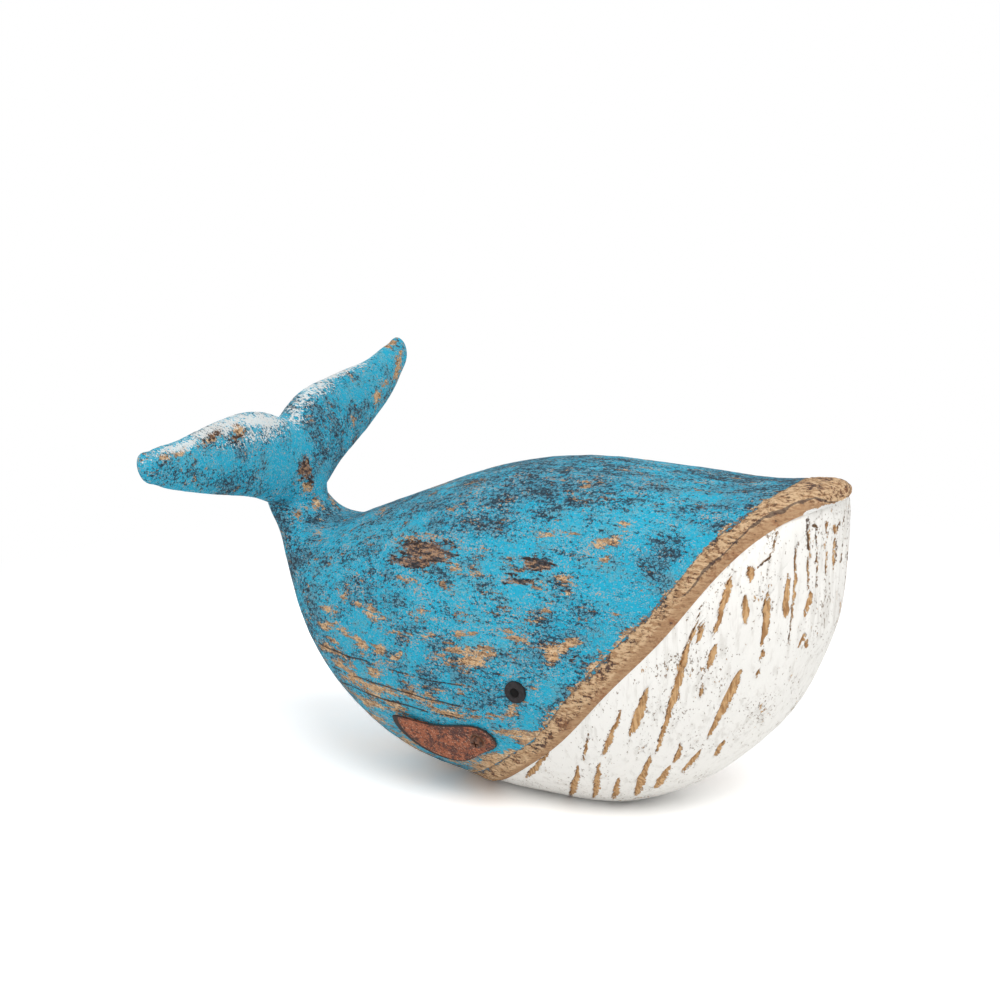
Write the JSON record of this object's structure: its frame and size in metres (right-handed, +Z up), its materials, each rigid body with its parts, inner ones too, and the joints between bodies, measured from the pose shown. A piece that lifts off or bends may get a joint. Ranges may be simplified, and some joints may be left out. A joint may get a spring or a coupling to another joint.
{
  "type": "whale figurine",
  "caption": "Carved and painted wooden whale ornament that rests on its belly, with upturned flukes, a pleated white throat and swivelling sheet metal flippers.",
  "frame": {"origin": "on the flat of the belly that the whale rests on, amidships", "axes": "+X towards the snout, +Y the whale's left, +Z up"},
  "size_m": [0.2659, 0.196, 0.1487],
  "materials": {
    "painted_back": "worn blue paint over reclaimed wood, rubbed through along the grain",
    "painted_tail": "worn blue paint, dry brushed with white on the upper edges",
    "painted_throat": "chipped white paint with carved pleats",
    "bare_lip": "bare rasped wood",
    "dowel_wood": "plain turned wood",
    "eye_metal": "dark burnished metal",
    "eye_pupil": "black nail head",
    "rusted_sheet": "rusted sheet steel with a dark cut edge",
    "screw_metal": "tarnished cross-head screw"
  },
  "bodies": {
    "carving": {"back_block": "painted_back", "lip_board": "bare_lip", "throat_block": "painted_throat", "tail": "painted_tail", "tail_dowel": "dowel_wood", "throat_dowel_lower": "dowel_wood", "throat_dowel_upper": "dowel_wood", "eye_ring_right": "eye_metal", "eye_nail_right": "eye_pupil", "flipper_screw_right": "screw_metal", "eye_ring_left": "eye_metal", "eye_nail_left": "eye_pupil", "flipper_screw_left": "screw_metal"},
    "flipper_right": {"flipper_right": "rusted_sheet"},
    "flipper_left": {"flipper_left": "rusted_sheet"}
  },
  "joints": [
    {"name": "flipper_right_turn", "type": "hinge", "parent": "carving", "child": "flipper_right", "pos_m": [-0.02079, -0.04974, 0.03154], "axis": [0.0267, 0.8955, 0.4443], "range_deg": [-40, 110]},
    {"name": "flipper_left_turn", "type": "hinge", "parent": "carving", "child": "flipper_left", "pos_m": [-0.02079, 0.04974, 0.03154], "axis": [-0.0267, 0.8955, -0.4443], "range_deg": [-40, 110]}
  ]
}
